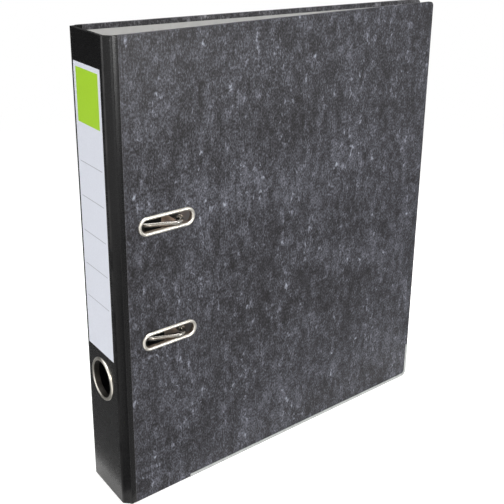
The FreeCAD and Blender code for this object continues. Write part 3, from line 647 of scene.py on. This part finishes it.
def cloud_paper(name, side, turn, origin):
    """Paper marbled with pale fibres: a net of strands, flecks gathered in falls, tufts and clouds,
    with light painted on its turned-in edges, and rubbed along its cut edge."""
    paper = Finish(name, Roughness=0.36, IOR=1.235)
    flat = paper.place(turn, origin)
    wisp = paper.place(turn, origin, (1, 1, 0.6))
    net = paper.noise(wisp, 430, 1, 0.5, 1.2)
    strand = 1 - (abs(net - 0.5) * 8).step(0, 1)
    broken = paper.noise(flat, 160, 1).step(0.45, 0.65)
    fleck = paper.noise(wisp, 270, 3, 0.62, 0.4).step(0.54, 0.76)
    fine = paper.noise(wisp, 950, 3, 0.65)
    tuft = paper.noise(wisp, 200, 2, 0.6, 0.6)
    fall = paper.noise(paper.place(turn, origin, (1, 1, 0.3)), 85, 2, 0.5, 0.5)
    cloud = paper.noise(flat, 42, 2, 0.55, 0.5)
    veil = paper.noise(flat, 13, 1, 0.5)
    gathered = fall.step(0.42, 0.64)
    share = ((fine - 0.5) * 2.2 + strand * broken * (fine + 0.3) * 0.2
             + fleck * (gathered + 0.2) + (tuft - 0.5) + (fall - 0.5) * 0.5
             + (cloud - 0.5) * 0.4 + (veil - 0.5) * 0.45 - 0.05)
    pale = share.step(-0.4, 1.5)
    tone = paper.blend(pale, shade(34, 33, 35), shade(136, 139, 152))
    tone = paper.blend(fleck * gathered * share.step(0.5, 1.6), tone, shade(150, 160, 168))
    s, deep, z = paper.axes(flat)
    if side == "back":
        deep = 0 - deep
    # Painted light: the turned-in faces inside the cover are made paler, as if lit.
    turned = deep.step(1.6 * MM, 2.0 * MM)
    cut = 1 - s.step((shoulder + lap - 0.15) * MM, (shoulder + lap + 0.12) * MM)
    edge = (s.step((cover_end - 0.9) * MM, cover_end * MM)
            + z.step((cover_top - 0.8) * MM, cover_top * MM))
    rub = edge * paper.noise(flat, 210, 3, 0.6).step(0.45, 0.75) * 0.15 + cut * 0.1
    tone = paper.blend(turned, tone, paper.blend(pale, shade(62, 62, 65), shade(176, 177, 186)))
    paper.wear(Base_Color=paper.blend(rub, tone, shade(168, 168, 172)),
               Roughness=0.3 + fine * 0.12 + rub * 0.2)
    paper.relief(fine + strand * broken * 0.3, 0.04 * MM)
    return paper


for side, turn in (("front", -tilt), ("back", 0)):
    paper = cornered(f"{side}_cover_paper", side, f"{side}_cloud_paper_sheet")
    cloud_paper(f"{side}_cloud_paper", side, turn, case(*on_side(side, hinge))).on(paper)
    core = cornered(f"{side}_board", side, f"{side}_cover_greyboard")
    board.on(core)

# ---- Label: smooth white paper, glued on the cloth of the spine and printed with a plain green
# field and five ruled lines for the contents.
field_middle, field_half_high, field_half_wide = 278, 17, 15.5
line_heights, line_half_long = (235.7, 212.8, 189.3, 166.3, 143.3), 15.8
line_half_thin, line_half_thick = 0.14, 0.36           # from full ink to none
label = Finish("label_paper", Roughness=0.42, IOR=1.4)
_, y, z = label.axes(label.here())
fibre = label.noise(label.place(), 900, 2, 0.6)
from_middle = abs(y - case(0, ring_y).y)


def printed_within(distance, half):
    """1 inside a printed shape, by the distance from its middle line, and 0 outside."""
    ink_edge = 0.1
    return 1 - distance.step((half - ink_edge) * MM, (half + ink_edge) * MM)


green = (printed_within(from_middle, field_half_wide)
         * printed_within(abs(z - field_middle * MM), field_half_high))
lines = sum(1 - abs(z - height * MM).step(line_half_thin * MM, line_half_thick * MM)
            for height in line_heights)
ruled = lines * printed_within(from_middle, line_half_long)
white = label.blend(fibre.step(0.3, 0.7), shade(215, 219, 230), shade(219, 223, 234))
printed = label.blend(green, white, label.blend(fibre, shade(158, 204, 34), shade(168, 212, 46)))
label.wear(Base_Color=label.blend(ruled * 0.65, printed, shade(112, 116, 126)),
           Roughness=0.38 + fibre * 0.08)
label.relief(fibre, 0.02 * MM, 0.5)
label.on("spine_label")

# ---- The finger ring: a nickel-plated eyelet in the spine, by which the file is pulled off its
# shelf, pressed with a bead and flared over a washer inside.  Its barrel is painted near black for
# the shade inside it.
ring_path, ring_bead, ring_barrel, ring_flare = 13.95, 0.95, 2.85, 1.2
barrel_from = -0.5                      # from the spine's face, where the ring's barrel begins


def plated(name, colour, dull, brushed=(1, 1, 1), polish=0.2):
    """Plate with fine wear: a base colour, a duller colour in patches, and its grain's stretch."""
    plate = Finish(name, Metallic=1.0)
    patch = plate.noise(plate.place(), 160, 3, 0.6)
    scratch = plate.noise(plate.place(0.3, (0, 0, 0), brushed), 2400, 2, 0.6)
    plate.wear(Base_Color=plate.blend(patch.step(0.45, 0.75) * 0.6 + scratch * 0.15, colour, dull),
               Roughness=polish + patch * 0.12 + scratch * 0.1)
    plate.relief(scratch + patch, 0.01 * MM, 0.5)
    return plate


def pressed_rim(name, path, bead, barrel, flare, half_run=0.0):
    """A pressed rim round a hole, lying on z = 0: a round bead above, its barrel and a flare below.
    A slot's rim has its two ends moved apart along x."""
    turns, wall, merged = 72, 0.3, 0.01
    piece = fresh(name, bpy.ops.mesh.primitive_circle_add, radius=bead * MM, vertices=24,
                  location=(path * MM, 0, 0), rotation=(math.pi / 2, 0, 0))
    bpy.ops.object.mode_set(mode="EDIT")
    slice_at((0, 0, 0), (0, 0, 1), clear_inner=True)
    for x, moves in ((path - bead, ((0, -barrel), (0.25 * flare, -0.3), (0.75 * flare, -0.1))),
                     (path + bead, ((0, -0.1),))):
        at = Vector((x, 0, 0)) * MM
        pick("verts", lambda v: (v.co - at).length < same_place)
        for across, down in moves:
            bpy.ops.mesh.extrude_region_move(
                TRANSFORM_OT_translate={"value": (across * MM, 0, down * MM)})
    bpy.ops.mesh.select_all(action="SELECT")
    bpy.ops.mesh.spin(steps=turns, angle=2 * math.pi, center=(0, 0, 0), axis=(0, 0, 1))
    bpy.ops.mesh.remove_doubles(threshold=merged * MM)
    bpy.ops.mesh.normals_make_consistent(inside=False)
    bpy.ops.object.mode_set(mode="OBJECT")
    if half_run:
        piece.data.transform(Matrix.Rotation(math.pi / turns, 4, "Z"))
        take(piece)
        bpy.ops.object.mode_set(mode="EDIT")
        for way in (1, -1):
            pick("verts", lambda v: v.co.x * way > 0)
            bpy.ops.transform.translate(value=(half_run * way * MM, 0, 0))
        bpy.ops.object.mode_set(mode="OBJECT")
    modify(piece, "SOLIDIFY", thickness=wall * MM, offset=-1)
    bpy.ops.object.shade_smooth_by_angle(angle=math.radians(40))
    return piece


def set_down(piece, matrix):
    """Bring a piece that was made at the origin to its place."""
    take(piece)
    piece.matrix_world = matrix
    bpy.ops.object.transform_apply(location=True, rotation=True, scale=True)


nickel = plated("bright_nickel", (0.66, 0.635, 0.575, 1), (0.5, 0.465, 0.41, 1))
painted_shade_ring_plate = plated("ring_barrel_painted_shade", (0.05, 0.047, 0.042, 1), (0.025, 0.023, 0.021, 1), polish=0.4)
ring = pressed_rim("finger_ring_beaded", ring_path, ring_bead, ring_barrel, ring_flare)
ring_middle = case(0, ring_y, ring_z)
set_down(ring, Matrix.Translation(ring_middle) @ Matrix.Rotation(-math.pi / 2, 4, "Y"))
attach(ring, "spine")
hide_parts("finger_ring")
nickel.on(ring, "finger_ring_washer")
# Painted shade: the barrel inside the bead takes a near-black plate, for the shade in the finger
# hole.
dress_faces(ring, painted_shade_ring_plate, lambda at: at.x > case(barrel_from, 0).x
            and (at - ring_middle).yz.length < (ring_path - 0.25) * MM)

# ---- The slots' rims: nickel-plated eyelets in the front cover, over the arches, with straight
# sides and round ends, pressed in one piece like the ring, with a brown shade painted inside.
slot_path, slot_bead, slot_barrel, slot_flare, slot_half_run = 5.25, 0.9, 2.05, 1.0, 15.4
slot_reach, slot_z = 35.1, {"upper": 198.8, "lower": 118.8}
slot_barrel_painted_shade = plated("slot_barrel_painted_shade", (0.5, 0.4, 0.33, 1), (0.3, 0.23, 0.19, 1), polish=0.3)
for which, z in slot_z.items():
    rim = pressed_rim(f"{which}_slot_rim", slot_path, slot_bead, slot_barrel, slot_flare,
                      slot_half_run)
    set_down(rim, cover_place("front") @ Matrix.Translation(Vector((slot_reach, 0, z)) * MM)
             @ Matrix.Rotation(math.pi / 2, 4, "X"))
    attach(rim, "front_cover")
    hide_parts(f"{which}_slot_eyelet")
    nickel.on(rim)
    # Painted shade: the barrels inside the beads take a brown plate, for the warm shade in the
    # slots.
    dress_faces(rim, slot_barrel_painted_shade,
            lambda at: (cover_place("front").inverted() @ at).y > 0.2 * MM)

# ---- The edge rails: nickel-plated strips folded round the foot and the lower free corner of
# each cover, which they guard, and clamped on it.
rail_start, rail_end, rail_rise, rail_grip, rail_cheek = 49.9, 283.6, 30.0, 2.6, 0.3
rail_wall, fold_round, spare = 0.35, 0.3, 6.0          # spare is cut off at both ends
rail_plate = plated("rail_nickel", (0.44, 0.455, 0.45, 1), (0.3, 0.31, 0.31, 1), (0.05, 0.05, 1),
                    0.24)
through = lambda e: abs(e.verts[0].co.y - e.verts[1].co.y) > 1 * MM    # an edge along y
side_on = lambda f: abs(f.normal.y) > 0.9                              # a face along the cover
for side in ("front", "back"):
    rail = fresh(f"{side}_edge_rail_folded", bpy.ops.mesh.primitive_cube_add, size=1,
                 location=Vector(((rail_start - spare + rail_end) / 2,
                                  pack / 2 if side == "front" else -pack / 2,
                                  (rail_rise + spare) / 2)) * MM,
                 stretch=Vector((rail_end - rail_start + spare, pack + 2 * rail_cheek,
                                 rail_rise + spare)) * MM)
    bpy.ops.object.mode_set(mode="EDIT")
    pick("edges", lambda e: mid(e).x > (rail_end - 1) * MM and mid(e).z < 1 * MM and through(e))
    bpy.ops.mesh.bevel(offset=(corner_round + 0.4) * MM, segments=10)
    pick("faces", side_on)
    bpy.ops.mesh.inset(thickness=rail_grip * MM)
    pick("faces", lambda f: mid(f).z >= (rail_grip + 0.1) * MM
         and mid(f).x <= (rail_end - rail_grip - 0.1) * MM)
    bpy.ops.mesh.delete(type="FACE")
    slice_at((rail_start * MM, 0, 0), (1, 0, 0), clear_inner=True)
    slice_at((0, 0, rail_rise * MM), (0, 0, 1), clear_outer=True)
    pick("edges", lambda e: sorted(side_on(f) for f in e.link_faces) == [False, True])
    bpy.ops.mesh.bevel(offset=fold_round * MM, segments=3)
    bpy.ops.object.mode_set(mode="OBJECT")
    modify(rail, "SOLIDIFY", thickness=rail_wall * MM, offset=-1)
    bpy.ops.object.shade_smooth_by_angle(angle=math.radians(35))
    set_down(rail, cover_place(side))
    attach(rail, f"{side}_cover")
    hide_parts(f"{side}_edge_rail")
    rail_plate.on(rail)

# ---- The lever arch mechanism: pressed and plated steel, riveted to the back cover, with bent
# wire arches and hollow posts.
steel = plated("plated_steel", (0.5, 0.485, 0.46, 1), (0.36, 0.345, 0.32, 1), (1, 1, 0.1), 0.22)
steel.on("mechanism_base_plate", "mechanism_rivets", "lever_bracket", "lever_pivot_pin",
         "lever_arm", "roller_pin", "spring_rivet")
wire = plated("polished_wire", (0.34, 0.325, 0.3, 1), (0.22, 0.21, 0.19, 1), (1, 1, 1), 0.14)
wire.on("arch_wire", "upper_post", "lower_post")
lathed = plated("turned_steel", grey(0.45), grey(0.3), (0.1, 1, 1), 0.3)
lathed.on("lever_roller")
blued = plated("blued_spring_steel", (0.12, 0.125, 0.15, 1), (0.2, 0.19, 0.19, 1), (0.1, 1, 1),
               0.3)
blued.on("opening_spring")

# ---- The compressor bar: a moulded black strip that slides on the two posts, with round ends, a
# hole for each post and a sunk channel for stiffness.
bar_middle, bar_wide, bar_high, bar_thick = (50.8, 45.9, 156.3), 12.4, 137.0, 2.0
bar_corner, bar_round, bar_hole = 4.5, 0.3, 3.1
post_x, post_half_gap = 53, 40
channel_x, channel_wide, channel_deep, channel_high, channel_round = 52, 5.0, 1.2, 66.0, 0.5
bar = fresh("compressor_bar_moulded", bpy.ops.mesh.primitive_cube_add, size=1,
            location=case(*bar_middle), stretch=Vector((bar_wide, bar_thick, bar_high)) * MM)
bpy.ops.object.mode_set(mode="EDIT")
pick("edges", through)
bpy.ops.mesh.bevel(offset=bar_corner * MM, segments=8)
bpy.ops.object.mode_set(mode="OBJECT")
for way in (-1, 1):
    cut_hole(bar, bar_hole, case(post_x, bar_middle[1], bar_middle[2] + way * post_half_gap),
             (math.pi / 2, 0, 0), facets=48)
channel = fresh("channel", bpy.ops.mesh.primitive_cube_add, size=1,
                location=case(channel_x, bar_middle[1] - bar_thick / 2, bar_middle[2]),
                stretch=Vector((channel_wide, channel_deep, channel_high)) * MM)
modify(channel, "BEVEL", width=channel_round * MM, segments=2)
modify(bar, "BOOLEAN", object=channel, operation="DIFFERENCE", solver="EXACT")
bpy.data.objects.remove(channel)
modify(bar, "BEVEL", width=bar_round * MM, segments=2, limit_method="ANGLE",
       angle_limit=math.radians(50))
bpy.ops.object.shade_smooth_by_angle(angle=math.radians(40))
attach(bar, "compressor_bar")
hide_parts("compressor_bar")
plastic = Finish("black_plastic", Roughness=0.4, IOR=1.45)
spark = plastic.noise(plastic.place(), 1800, 2, 0.6)
smear = plastic.noise(plastic.place(), 90, 2, 0.5)
plastic.wear(Base_Color=plastic.blend(smear, shade(22, 22, 23), shade(34, 34, 35)),
             Roughness=0.34 + spark * 0.16)
plastic.relief(spark, 0.03 * MM)
plastic.on(bar)
